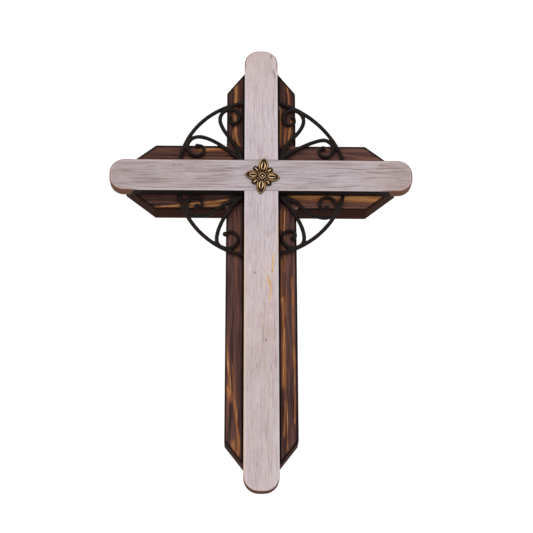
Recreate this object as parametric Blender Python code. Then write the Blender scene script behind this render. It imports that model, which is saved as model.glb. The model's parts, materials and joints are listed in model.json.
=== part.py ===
"""Wooden wall cross, in metres, +Z up: it hangs in the XZ plane, its back on y = 0, its front towards -Y.

A narrow whitewashed cross with rounded ends lies on a wider cross of burnt boards with clipped corners.
Black scrollwork of round rod fills the four corners of the crossing, and a brass rosette sits on its centre.
The origin is the mouth of the hanging hole in the back of the upright.
"""

from collections import namedtuple
from math import atan2, cos, pi, radians, sin, sqrt, tan

import bmesh
import bpy
from mathutils import Vector

# Clearance kept between pieces that touch
FIT_GAP = 0.0003

# Back cross: reaches run from the middle of its own crossing
BACK_WIDTH = 0.0635
BACK_THICKNESS = 0.0222
BACK_TOP_REACH = 0.1142
BACK_BOTTOM_REACH = 0.2754
BACK_LEFT_REACH = 0.1248
BACK_RIGHT_REACH = 0.1240
NOSE_WIDTH = 0.0200
NOSE_CUT_ANGLE = radians(38)
BACK_EDGE_ROUND = 0.0009

# Front cross: reaches run from the middle of its own crossing, which sits a little below the back one
FRONT_WIDTH = 0.0307
FRONT_THICKNESS = 0.0116
FRONT_TOP_REACH = 0.1283
FRONT_BOTTOM_REACH = 0.2903
FRONT_ARM_REACH = 0.1379
FRONT_END_RADIUS = 0.0132
FRONT_EDGE_ROUND = 0.0007
FRONT_DROP = 0.0030

# Half lap: the share of the thickness that each crossbar keeps where it passes in front of its upright
LAP_SHARE = 0.5

# Hanging hole, bored from behind
HOLE_RADIUS = 0.0040
HOLE_DEPTH = 0.0120
HOLE_BELOW_TOP = 0.0345

# Scrollwork rod
ROD_RADIUS = 0.0017
TIP_RADIUS = 0.00125
TIP_TAPER_SHARE = 0.35
BALL_RADIUS = 0.0024
ROOT_WELD_RADIUS = 0.0023
TOUCH_WELD_RADIUS = 0.0018
ROOT_ROOM = 0.0004

# Each corner of the crossing is drawn in its own frame: u runs out along the arm, v out along the upright.
# An arc runs from the upright's side, at upright_end along v, to the arm's side, at arm_end along u.
# A scroll leaves the inner corner at heading (measured from u), and its curl touches the arc from inside.
# eye_room is the distance from the front board's side to the curl's eye, and weld_pitch the distance between
# the two rods' centres where they touch. The curl winds through lead before it touches the arc, where its
# radius is curl_radius, and through turn after it, where its radius has closed to eye_radius.
Arc = namedtuple("Arc", "upright_end arm_end bend_radius")
Scroll = namedtuple(
    "Scroll", "eye_room curl_radius eye_radius lead turn weld_pitch heading root_pull curl_pull"
)
Corner = namedtuple("Corner", "side rise arc arm_scroll upright_scroll")

CORNERS = {
    "scroll_upper_left": Corner(
        -1,
        1,
        Arc(upright_end=0.0782, arm_end=0.0750, bend_radius=0.0704),
        Scroll(0.0158, 0.0105, 0.0022, radians(30), radians(312), 0.0022, radians(46), 0.0184, 0.0143),
        Scroll(0.0115, 0.0096, 0.0026, radians(87), radians(294), 0.0028, radians(87), 0.0161, 0.0145),
    ),
    "scroll_upper_right": Corner(
        1,
        1,
        Arc(upright_end=0.0788, arm_end=0.0767, bend_radius=0.0905),
        Scroll(0.0142, 0.0093, 0.0022, radians(54), radians(283), 0.0029, radians(80), 0.0070, 0.0076),
        Scroll(0.0126, 0.0102, 0.0023, radians(83), radians(337), 0.0010, radians(87), 0.0196, 0.0143),
    ),
    "scroll_lower_left": Corner(
        -1,
        -1,
        Arc(upright_end=0.0749, arm_end=0.0748, bend_radius=0.0772),
        Scroll(0.0096, 0.0098, 0.0022, radians(85), radians(294), 0.0031, radians(16), 0.0180, 0.0159),
        Scroll(0.0137, 0.0110, 0.0047, radians(23), radians(252), 0.0006, radians(41), 0.0208, 0.0096),
    ),
    "scroll_lower_right": Corner(
        1,
        -1,
        Arc(upright_end=0.0731, arm_end=0.0750, bend_radius=0.0782),
        Scroll(0.0104, 0.0105, 0.0026, radians(83), radians(319), 0.0013, radians(12), 0.0291, 0.0256),
        Scroll(0.0120, 0.0113, 0.0022, radians(21), radians(345), 0.0006, radians(47), 0.0242, 0.0104),
    ),
}

# Rosette: stamped brass, four pointed petals and four small leaves between them
PETAL_REACH_UP = 0.0182
PETAL_REACH_SIDE = 0.0162
PETAL_WAIST_SHARE = 0.47
LEAF_REACH = 0.0117
LEAF_FOOT_SHARE = 0.68
ROSETTE_TURN = radians(-6)
ROSETTE_OFFSET = (0.0009, -0.0012)
ROSETTE_EDGE = 0.0006
ROSETTE_RELIEF = 0.0013
BOSS_RADIUS = 0.0040
BOSS_HEIGHT = 0.0012

# Facets
ROD_SIDES = 8
ARC_STEPS = 18
STEM_STEPS = 8
CURL_STEPS = 23
CORNER_STEPS = 7
HOLE_STEPS = 24
ROSETTE_SPOKES = 72
ROSETTE_RINGS = 6
BALL_STEPS = 2
SMOOTH_BELOW = radians(40)
EASED_ABOVE = radians(30)

# Heights and depths that follow
FRONT_FACE_OF_BACK = -BACK_THICKNESS
BACK_OF_FRONT = FRONT_FACE_OF_BACK - FIT_GAP
FRONT_FACE = BACK_OF_FRONT - FRONT_THICKNESS
BACK_CROSSING_Z = HOLE_BELOW_TOP - BACK_TOP_REACH
FRONT_CROSSING_Z = BACK_CROSSING_Z - FRONT_DROP
FRONT_HALF = FRONT_WIDTH / 2
BACK_HALF = BACK_WIDTH / 2


def clear_scene():
    for thing in list(bpy.data.objects):
        bpy.data.objects.remove(thing, do_unlink=True)


def material(name, color, roughness, metallic=0.0):
    made = bpy.data.materials.new(name)
    made.use_nodes = True
    shader = made.node_tree.nodes["Principled BSDF"]
    shader.inputs["Base Color"].default_value = (*color, 1.0)
    shader.inputs["Roughness"].default_value = roughness
    shader.inputs["Metallic"].default_value = metallic
    return made


def object_from(name, mesh_builder, collection=None):
    mesh = bpy.data.meshes.new(name)
    bmesh.ops.recalc_face_normals(mesh_builder, faces=mesh_builder.faces)
    mesh_builder.to_mesh(mesh)
    mesh_builder.free()
    made = bpy.data.objects.new(name, mesh)
    (collection or bpy.context.scene.collection).objects.link(made)
    return made


def hide_helper(helper):
    helper.hide_render = True
    helper.display_type = "WIRE"


def shade_round(piece):
    piece.data.shade_smooth()
    piece.data.set_sharp_from_angle(angle=SMOOTH_BELOW)


def prism(name, outline, near, far):
    """A solid between y = near and y = far, whose outline is a loop of (x, z) points."""
    builder = bmesh.new()
    ring = [builder.verts.new((x, near, z)) for x, z in outline]
    face = builder.faces.new(ring)
    grown = bmesh.ops.extrude_face_region(builder, geom=[face])
    moved = [part for part in grown["geom"] if isinstance(part, bmesh.types.BMVert)]
    bmesh.ops.translate(builder, verts=moved, vec=(0, far - near, 0))
    return object_from(name, builder)


def cut(piece, cutter, label):
    modifier = piece.modifiers.new(label, "BOOLEAN")
    modifier.operation = "DIFFERENCE"
    modifier.object = cutter


def ease_edges(piece, width):
    modifier = piece.modifiers.new("eased edges", "BEVEL")
    modifier.width = width
    modifier.segments = 2
    modifier.limit_method = "ANGLE"
    modifier.angle_limit = EASED_ABOVE


def box_outline(left, right, low, high):
    return [(left, low), (right, low), (right, high), (left, high)]


def clipped_outline(width, low, high):
    """A board along z with its four corners cut off, which leaves a narrow flat nose at each end."""
    half = width / 2
    nose = NOSE_WIDTH / 2
    run = (half - nose) / tan(NOSE_CUT_ANGLE)
    return [
        (-nose, low),
        (nose, low),
        (half, low + run),
        (half, high - run),
        (nose, high),
        (-nose, high),
        (-half, high - run),
        (-half, low + run),
    ]


def rounded_outline(width, low, high):
    """A board along z whose ends are rounded at their corners."""
    inset = width / 2 - FRONT_END_RADIUS
    points = []
    for quarter in range(4):
        centre_x = inset if quarter in (0, 3) else -inset
        centre_z = high - FRONT_END_RADIUS if quarter in (0, 1) else low + FRONT_END_RADIUS
        for step in range(CORNER_STEPS + 1):
            angle = (quarter + step / CORNER_STEPS) * pi / 2
            points.append((centre_x + FRONT_END_RADIUS * cos(angle), centre_z + FRONT_END_RADIUS * sin(angle)))
    return points


def turned_flat(outline):
    """The same outline laid along x instead of z."""
    return [(-z, x) for x, z in outline]


def raised(outline, height):
    return [(x, z + height) for x, z in outline]


def lapped_pair(upright, crossbar, half, crossing_z, front, back, label):
    """Cuts the half lap: the upright loses its front part and the crossbar its rear part, with clearance."""
    lap = back + (front - back) * (1 - LAP_SHARE)
    room = half + FIT_GAP
    past = FIT_GAP * 10
    opening = box_outline(-room, room, crossing_z - room, crossing_z + room)
    upright_cutter = prism(label + " upright lap cutter", opening, front - past, lap + FIT_GAP / 2)
    crossbar_cutter = prism(label + " crossbar lap cutter", opening, lap - FIT_GAP / 2, back + past)
    hide_helper(upright_cutter)
    hide_helper(crossbar_cutter)
    cut(upright, upright_cutter, "half lap")
    cut(crossbar, crossbar_cutter, "half lap")


def make_back_cross(wood):
    low = BACK_CROSSING_Z - BACK_BOTTOM_REACH
    high = BACK_CROSSING_Z + BACK_TOP_REACH
    upright = prism("back_upright", clipped_outline(BACK_WIDTH, low, high), FRONT_FACE_OF_BACK, 0.0)
    along_x = turned_flat(clipped_outline(BACK_WIDTH, -BACK_RIGHT_REACH, BACK_LEFT_REACH))
    crossbar = prism("back_crossbar", raised(along_x, BACK_CROSSING_Z), FRONT_FACE_OF_BACK, 0.0)
    for board in (upright, crossbar):
        ease_edges(board, BACK_EDGE_ROUND)
        board.data.materials.append(wood)
    lapped_pair(upright, crossbar, BACK_HALF, BACK_CROSSING_Z, FRONT_FACE_OF_BACK, 0.0, "back")
    cut(upright, make_hole_cutter(), "hanging hole")


def make_hole_cutter():
    circle = [
        (HOLE_RADIUS * cos(2 * pi * step / HOLE_STEPS), HOLE_RADIUS * sin(2 * pi * step / HOLE_STEPS))
        for step in range(HOLE_STEPS)
    ]
    cutter = prism("hanging hole cutter", circle, -HOLE_DEPTH, HOLE_RADIUS)
    hide_helper(cutter)
    return cutter


def make_front_cross(wood):
    low = FRONT_CROSSING_Z - FRONT_BOTTOM_REACH
    high = FRONT_CROSSING_Z + FRONT_TOP_REACH
    upright = prism("front_upright", rounded_outline(FRONT_WIDTH, low, high), FRONT_FACE, BACK_OF_FRONT)
    along_x = turned_flat(rounded_outline(FRONT_WIDTH, -FRONT_ARM_REACH, FRONT_ARM_REACH))
    crossbar = prism("front_crossbar", raised(along_x, FRONT_CROSSING_Z), FRONT_FACE, BACK_OF_FRONT)
    for board in (upright, crossbar):
        ease_edges(board, FRONT_EDGE_ROUND)
        board.data.materials.append(wood)
    lapped_pair(upright, crossbar, FRONT_HALF, FRONT_CROSSING_Z, FRONT_FACE, BACK_OF_FRONT, "front")


def arc_circle(arc):
    """Centre (u, v) and radius of the circle through the arc's two ends with its bend radius."""
    first = Vector((FRONT_HALF, arc.upright_end))
    last = Vector((arc.arm_end, FRONT_HALF))
    chord = last - first
    rise = sqrt(arc.bend_radius**2 - chord.length_squared / 4)
    inward = Vector((chord.y, -chord.x)).normalized()
    return (first + last) / 2 + inward * rise, arc.bend_radius


def arc_points(arc):
    """From inside the upright's side to inside the arm's side, where the trim cuts the rod to length."""
    centre, radius = arc_circle(arc)
    deep = FRONT_HALF - ROD_RADIUS
    start = atan2(sqrt(radius**2 - (deep - centre.x) ** 2), deep - centre.x)
    end = atan2(deep - centre.y, sqrt(radius**2 - (deep - centre.y) ** 2))
    angles = [start + (end - start) * step / ARC_STEPS for step in range(ARC_STEPS + 1)]
    return [centre + radius * Vector((cos(angle), sin(angle))) for angle in angles]


def scroll_root():
    offset = FRONT_HALF + FIT_GAP + ROOT_ROOM + ROD_RADIUS
    return Vector((offset, offset))


def scroll_eye(scroll, arc, by_arm):
    """The curl's eye, set off from the front board's side, where the curl just reaches the arc."""
    centre, radius = arc_circle(arc)
    inner = radius - scroll.weld_pitch - scroll.curl_radius
    beside = FRONT_HALF + scroll.eye_room
    if by_arm:
        return Vector((centre.x + sqrt(inner**2 - (beside - centre.y) ** 2), beside))
    return Vector((beside, centre.y + sqrt(inner**2 - (beside - centre.x) ** 2)))


def scroll_points(scroll, arc, by_arm):
    """A stem from the inner corner that runs into a curl, which closes evenly on its eye."""
    eye = scroll_eye(scroll, arc, by_arm)
    centre, _ = arc_circle(arc)
    touch = atan2(eye.y - centre.y, eye.x - centre.x)
    winding = -1 if by_arm else 1
    closing = (scroll.curl_radius - scroll.eye_radius) / scroll.turn

    def on_curl(turned):
        angle = touch + winding * turned
        return eye + (scroll.curl_radius - closing * turned) * Vector((cos(angle), sin(angle)))

    swept = scroll.lead + scroll.turn
    curl = [on_curl(-scroll.lead + swept * step / CURL_STEPS) for step in range(CURL_STEPS + 1)]
    join_angle = touch - winding * scroll.lead
    out = Vector((cos(join_angle), sin(join_angle)))
    along = winding * Vector((-out.y, out.x)) * (scroll.curl_radius + closing * scroll.lead) - closing * out
    root = scroll_root()
    root_handle = root + scroll.root_pull * Vector((cos(scroll.heading), sin(scroll.heading)))
    curl_handle = curl[0] - scroll.curl_pull * along.normalized()
    stem = []
    for step in range(STEM_STEPS):
        t = step / STEM_STEPS
        s = 1 - t
        blend = s**3 * root + 3 * s * s * t * root_handle + 3 * s * t * t * curl_handle + t**3 * curl[0]
        stem.append(blend)
    return stem + curl


def touch_point(scroll, arc, by_arm):
    """Halfway between the two rods' centres, where the curl is welded to the arc."""
    eye = scroll_eye(scroll, arc, by_arm)
    centre, _ = arc_circle(arc)
    return eye + (eye - centre).normalized() * (scroll.curl_radius + scroll.weld_pitch / 2)


def rod_radii(count):
    """Even along the rod, then drawn down over its last part to a thinner tip."""
    start = 1 - TIP_TAPER_SHARE
    radii = []
    for step in range(count):
        share = max(0.0, (step / (count - 1) - start) / TIP_TAPER_SHARE)
        radii.append(ROD_RADIUS + (TIP_RADIUS - ROD_RADIUS) * share)
    return radii


def in_world(point, corner, forward):
    """A (u, v) point of a corner, standing forward of the back cross's face."""
    return Vector((corner.side * point.x, BACK_OF_FRONT - forward, FRONT_CROSSING_Z + corner.rise * point.y))


def rod(name, points, radii, corner, collection):
    """A round rod whose centre line is a list of (u, v) points, lying on the back cross."""
    centres = [in_world(point, corner, ROD_RADIUS) for point in points]
    forward = Vector((0, -1, 0))
    builder = bmesh.new()
    rings = []
    for index, centre in enumerate(centres):
        ahead = centres[min(index + 1, len(centres) - 1)]
        behind = centres[max(index - 1, 0)]
        across = (ahead - behind).normalized().cross(forward)
        ring = []
        for side in range(ROD_SIDES):
            angle = 2 * pi * side / ROD_SIDES
            ring.append(builder.verts.new(centre + radii[index] * (cos(angle) * across + sin(angle) * forward)))
        rings.append(ring)
    for ring, next_ring in zip(rings, rings[1:]):
        for side in range(ROD_SIDES):
            turn = (side + 1) % ROD_SIDES
            builder.faces.new((ring[side], ring[turn], next_ring[turn], next_ring[side]))
    builder.faces.new(rings[0])
    builder.faces.new(rings[-1])
    return object_from(name, builder, collection)


def ball(name, point, radius, corner, collection):
    """A ball that rests on the back cross's face at a (u, v) point."""
    builder = bmesh.new()
    bmesh.ops.create_icosphere(builder, subdivisions=BALL_STEPS, radius=radius)
    bmesh.ops.translate(builder, verts=builder.verts, vec=in_world(point, corner, radius))
    return object_from(name, builder, collection)


def make_trim_cutter():
    """The front cross's outline with clearance, deep enough to cut the rods off at its sides."""
    half = FRONT_HALF + FIT_GAP
    reach = FRONT_ARM_REACH
    outline = [
        (half, half),
        (reach, half),
        (reach, -half),
        (half, -half),
        (half, -reach),
        (-half, -reach),
        (-half, -half),
        (-reach, -half),
        (-reach, half),
        (-half, half),
        (-half, reach),
        (half, reach),
    ]
    near = BACK_OF_FRONT - 3 * (ROOT_WELD_RADIUS + ROD_RADIUS)
    cutter = prism("scrollwork trim cutter", raised(outline, FRONT_CROSSING_Z), near, 0.0)
    hide_helper(cutter)
    return cutter


def make_scrollwork(name, corner, iron, trim_cutter):
    """One corner's welded work: the arc, with both scrolls, their balls and the weld beads joined to it."""
    helpers = bpy.data.collections.new(name + " rods")
    bpy.context.scene.collection.children.link(helpers)
    helpers.hide_render = True
    points = arc_points(corner.arc)
    work = rod(name, points, [ROD_RADIUS] * len(points), corner, None)
    for scroll, by_arm, label in (
        (corner.arm_scroll, True, " arm scroll"),
        (corner.upright_scroll, False, " upright scroll"),
    ):
        points = scroll_points(scroll, corner.arc, by_arm)
        rod(name + label, points, rod_radii(len(points)), corner, helpers)
        ball(name + label + " ball", points[-1], BALL_RADIUS, corner, helpers)
        touch = touch_point(scroll, corner.arc, by_arm)
        ball(name + label + " bead", touch, TOUCH_WELD_RADIUS, corner, helpers)
    ball(name + " root weld", scroll_root(), ROOT_WELD_RADIUS, corner, helpers)
    for helper in helpers.objects:
        hide_helper(helper)
    modifier = work.modifiers.new("welded rods", "BOOLEAN")
    modifier.operation = "UNION"
    modifier.operand_type = "COLLECTION"
    modifier.collection = helpers
    cut(work, trim_cutter, "cut to the front cross")
    work.data.materials.append(iron)
    shade_round(work)


def petal_reach(angle):
    """Distance from the centre to the rosette's edge: the petals and leaves fall off evenly from their tips."""
    from_petal = abs((angle + pi / 4) % (pi / 2) - pi / 4)
    upright_share = sin(angle) ** 2
    tip = PETAL_REACH_UP * upright_share + PETAL_REACH_SIDE * (1 - upright_share)
    petal = tip * (1 - PETAL_WAIST_SHARE * from_petal / radians(30))
    from_leaf = pi / 4 - from_petal
    leaf = LEAF_REACH * (1 - (1 - LEAF_FOOT_SHARE) * from_leaf / radians(15))
    return max(petal, leaf)


def rosette_height(angle, share, radius):
    """Height of the relief: petals swell between rim and root, sunk along their middle, round a raised boss."""
    from_petal = abs((angle + pi / 4) % (pi / 2) - pi / 4)
    swell = sin(pi * min(share, 1.0)) ** 0.7 if 0 < share < 1 else 0.0
    groove = 1 - 0.5 * max(0.0, 1 - from_petal / radians(9)) * (1 if share > 0.3 else 0)
    boss = BOSS_HEIGHT * max(0.0, 1 - (radius / BOSS_RADIUS) ** 2)
    return ROSETTE_EDGE + ROSETTE_RELIEF * swell * groove + boss


def make_rosette(brass):
    base = FRONT_FACE - FIT_GAP
    middle_x = ROSETTE_OFFSET[0]
    middle_z = FRONT_CROSSING_Z + ROSETTE_OFFSET[1]
    builder = bmesh.new()
    top = builder.verts.new((middle_x, base - rosette_height(0, 0, 0), middle_z))
    bottom = builder.verts.new((middle_x, base, middle_z))
    rings = []
    for ring in range(1, ROSETTE_RINGS + 1):
        share = ring / ROSETTE_RINGS
        row = []
        for spoke in range(ROSETTE_SPOKES):
            angle = 2 * pi * spoke / ROSETTE_SPOKES
            radius = share * petal_reach(angle)
            height = rosette_height(angle, share, radius)
            turned = angle + ROSETTE_TURN
            place = (middle_x + radius * cos(turned), base - height, middle_z + radius * sin(turned))
            row.append(builder.verts.new(place))
        rings.append(row)
    rim = [builder.verts.new((vert.co.x, base, vert.co.z)) for vert in rings[-1]]
    for spoke in range(ROSETTE_SPOKES):
        following = (spoke + 1) % ROSETTE_SPOKES
        builder.faces.new((top, rings[0][spoke], rings[0][following]))
        for row, outer in zip(rings, rings[1:]):
            builder.faces.new((row[spoke], outer[spoke], outer[following], row[following]))
        builder.faces.new((rings[-1][spoke], rim[spoke], rim[following], rings[-1][following]))
        builder.faces.new((bottom, rim[following], rim[spoke]))
    rosette = object_from("rosette", builder)
    rosette.data.materials.append(brass)
    shade_round(rosette)


def main():
    clear_scene()
    burnt_wood = material("burnt_wood", (0.045, 0.024, 0.018), 0.7)
    white_wood = material("whitewashed_wood", (0.55, 0.49, 0.50), 0.75)
    black_iron = material("black_iron", (0.022, 0.022, 0.023), 0.45, metallic=0.3)
    old_brass = material("old_brass", (0.42, 0.28, 0.10), 0.4, metallic=1.0)
    make_back_cross(burnt_wood)
    make_front_cross(white_wood)
    trim_cutter = make_trim_cutter()
    for name, corner in CORNERS.items():
        make_scrollwork(name, corner, black_iron, trim_cutter)
    make_rosette(old_brass)


main()
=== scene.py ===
"""Looks of the wall cross: whitewashed boards on burnt pine, black rod work and a stamped brass rosette."""

import json
from math import atan2, cos, pi, radians, sin, sqrt
from types import SimpleNamespace

import bmesh
import bpy
import numpy as np
from mathutils import Matrix, Vector

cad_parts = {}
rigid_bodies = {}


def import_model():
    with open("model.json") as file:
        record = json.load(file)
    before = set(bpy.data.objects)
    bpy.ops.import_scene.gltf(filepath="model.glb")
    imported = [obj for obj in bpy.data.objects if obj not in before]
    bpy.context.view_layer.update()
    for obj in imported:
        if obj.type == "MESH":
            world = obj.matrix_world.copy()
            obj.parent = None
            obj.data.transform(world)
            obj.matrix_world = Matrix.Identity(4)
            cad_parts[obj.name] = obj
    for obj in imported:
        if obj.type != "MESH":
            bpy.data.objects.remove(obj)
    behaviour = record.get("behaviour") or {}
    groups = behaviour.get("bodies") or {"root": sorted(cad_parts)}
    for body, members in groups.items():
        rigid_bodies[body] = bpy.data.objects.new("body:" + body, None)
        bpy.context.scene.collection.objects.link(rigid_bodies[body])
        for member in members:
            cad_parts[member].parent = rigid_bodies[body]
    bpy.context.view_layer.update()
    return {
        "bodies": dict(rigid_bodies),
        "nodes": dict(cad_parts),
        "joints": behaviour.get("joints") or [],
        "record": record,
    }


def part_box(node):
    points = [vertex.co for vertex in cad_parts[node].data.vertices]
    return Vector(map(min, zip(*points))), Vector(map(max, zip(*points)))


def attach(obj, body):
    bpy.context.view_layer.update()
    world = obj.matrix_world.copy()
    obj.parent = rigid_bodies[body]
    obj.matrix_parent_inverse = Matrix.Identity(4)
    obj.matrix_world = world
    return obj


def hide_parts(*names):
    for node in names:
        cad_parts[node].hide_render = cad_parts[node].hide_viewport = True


MM = 0.001

# Sizes shared with the solids
FIT_GAP = 0.0003
FRONT_HALF = 0.01535
BACK_HALF = 0.03175
BACK_THICKNESS = 0.0222
FRONT_THICKNESS = 0.0116
BACK_OF_FRONT = -(BACK_THICKNESS + FIT_GAP)
FRONT_FACE = BACK_OF_FRONT - FRONT_THICKNESS
BACK_CROSSING_Z = -0.0797
FRONT_CROSSING_Z = -0.0827
FRONT_END_RADIUS = 0.0132
NOSE_HALF = 0.0100
NOSE_CUT_ANGLE = radians(38)

# How the boards are cut for relief: steps along and across, then depths and the rim's reach in mm
BACK_GRID, FRONT_GRID = (0.0013, 0.0008), (0.0011, 0.00055)
SIDE_SLICES = 7
SIDE_RELIEF_SHARE = 0.15
BACK_GRAIN, FRONT_GRAIN, RIM_WEAR = 0.22, 0.1, 0.08
RIM_REACH = 0.9
DEEP_INSIDE = 30
GROWTH_RIGHT, GROWTH_TOP = 0.0004, 0.0006

# Camera, found from the photograph's board edges
CAMERA_PLACE = Vector((-0.02103, -1.19175, -0.61924))
CAMERA_RIGHT = Vector((0.99977, -0.02125, -0.00218))
CAMERA_UP = Vector((-0.00563, -0.36037, 0.93279))
CAMERA_LENS = 94.58
SENSOR = 36.0


# Noise in code

def smooth_noise(x, y, seed):
    """Value noise between 0 and 1 on arrays, smooth, one cell per unit."""
    lattice = np.random.RandomState(seed).rand(256, 256)
    x0, y0 = np.floor(x).astype(int), np.floor(y).astype(int)
    fx, fy = x - x0, y - y0
    fx, fy = fx * fx * (3 - 2 * fx), fy * fy * (3 - 2 * fy)
    x1, y1 = (x0 + 1) % 256, (y0 + 1) % 256
    x0, y0 = x0 % 256, y0 % 256
    low = lattice[x0, y0] * (1 - fx) + lattice[x1, y0] * fx
    high = lattice[x0, y1] * (1 - fx) + lattice[x1, y1] * fx
    return low * (1 - fy) + high * fy


def streaks(across, along, marks, seed, fade_length, sway):
    """Strength 0 to 1 of painted streaks. A mark is its half width, its strength and its points in mm."""
    total = np.zeros_like(across)
    wobble = (smooth_noise(across * 0.6, along * 0.07, seed) - 0.5) * sway
    for half_width, strength, *numbers in marks:
        points = sorted(zip(numbers[::2], numbers[1::2]), key=lambda point: point[1])
        lengths = [point[1] for point in points]
        middle = np.interp(along, lengths, [point[0] for point in points])
        past = np.maximum(lengths[0] - along, along - lengths[-1])
        fade = clamp(1 - past / fade_length) ** 1.5
        off = np.abs(across + wobble - middle) / (half_width * (0.4 + 0.6 * fade))
        total = np.maximum(total, strength * fade * np.exp(-(off**2) * 1.2))
    return total


def mesh_of(builder, name):
    """A new mesh from builder, which is freed."""
    mesh = bpy.data.meshes.new(name)
    builder.to_mesh(mesh)
    builder.free()
    return mesh


def linked(name, data):
    """A new object that holds data, linked to the scene."""
    made = bpy.data.objects.new(name, data)
    bpy.context.scene.collection.objects.link(made)
    return made


def clamp(value):
    return np.clip(value, 0, 1)


def ramp_between(value, low, high):
    """0 at low, 1 at high, straight between."""
    return clamp((value - low) / (high - low))


# Boards

# Each crossbar's half lap: half width, height of the crossing, front face, rounding of its edges
HALF_LAPS = {
    "front_crossbar": (FRONT_HALF, FRONT_CROSSING_Z, FRONT_FACE, 0.0007),
    "back_crossbar": (BACK_HALF, BACK_CROSSING_Z, -BACK_THICKNESS, 0.0009),
}

# Reach in which a point of a crossbar's edge is taken for one of its rounding
SNAP = 1e-5


def outline_room_back(across, along, low, high):
    """Distance inside a clipped board's outline."""
    slope = np.minimum(along - low, high - along) * sin(NOSE_CUT_ANGLE)
    clipped = slope - (np.abs(across) - NOSE_HALF) * cos(NOSE_CUT_ANGLE)
    ends = np.minimum(along - low, high - along)
    return np.minimum(np.minimum(BACK_HALF - np.abs(across), clipped), ends)


def outline_room_front(across, along, low, high):
    """Distance inside a round-ended board's outline."""
    ends = np.minimum(along - low, high - along)
    sides = FRONT_HALF - np.abs(across)
    to_side = FRONT_END_RADIUS - sides
    to_end = FRONT_END_RADIUS - ends
    corner = FRONT_END_RADIUS - np.hypot(np.maximum(to_side, 0), np.maximum(to_end, 0))
    return np.where((to_side > 0) & (to_end > 0), corner, np.minimum(sides, ends))


def cut_across(builder, axis, place, **how):
    """Cuts the mesh in a plane at a place on one axis, and returns what lies in the cut."""
    along_axis = Vector((axis == 0, axis == 1, axis == 2))
    geometry = builder.verts[:] + builder.edges[:] + builder.faces[:]
    how = {"plane_co": along_axis * place, "plane_no": along_axis, **how}
    return bmesh.ops.bisect_plane(builder, geom=geometry, **how)["geom_cut"]


def slice_mesh(builder, axis, places):
    for place in places:
        cut_across(builder, axis, place, dist=1e-7)


def slice_evenly(builder, axis, low, high, step):
    slice_mesh(builder, axis, np.arange(low[axis] + step, high[axis] - step / 2, step))


def board_places(mesh, key):
    numbers = np.empty(len(mesh.vertices) * 3)
    mesh.vertices.foreach_get(key, numbers)
    return numbers.reshape(-1, 3)


def close_half_lap(places, normals, half, crossing_z, face, edge_round):
    """Fills the joint of a crossbar that meets its upright flush, with square edges."""
    height = places[:, 2] - crossing_z
    in_joint = np.abs(places[:, 0]) < half + 0.5 * FIT_GAP
    edge = in_joint & (np.abs(height) > half - edge_round - SNAP)
    front = edge & (places[:, 1] < face + edge_round + SNAP)
    places[edge, 2] = crossing_z + np.sign(height[edge]) * (half + 0.9 * FIT_GAP)
    places[front, 1] = face
    normals[front] = (0, -1, 0)
    return in_joint


def merge_closed(mesh):
    """Merges the points that closing the joint has brought together, so no face is left without area."""
    builder = bmesh.new()
    builder.from_mesh(mesh)
    bmesh.ops.remove_doubles(builder, verts=builder.verts, dist=1e-6)
    bmesh.ops.dissolve_degenerate(builder, dist=1e-6, edges=builder.edges)
    builder.to_mesh(mesh)
    builder.free()


def grow_sides(places, normals, along, upright):
    """The burnt boards run a little wide on their right and upper sides, away from the joint."""
    from_joint = np.abs(along - (BACK_CROSSING_Z - FRONT_CROSSING_Z) / MM * upright)
    clear = from_joint > BACK_HALF / MM + 1.5
    places[:, 0] += GROWTH_RIGHT * clamp(normals[:, 0] * 1.3) * clear
    places[:, 2] += GROWTH_TOP * clamp(normals[:, 2] * 1.3) * clear


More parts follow.
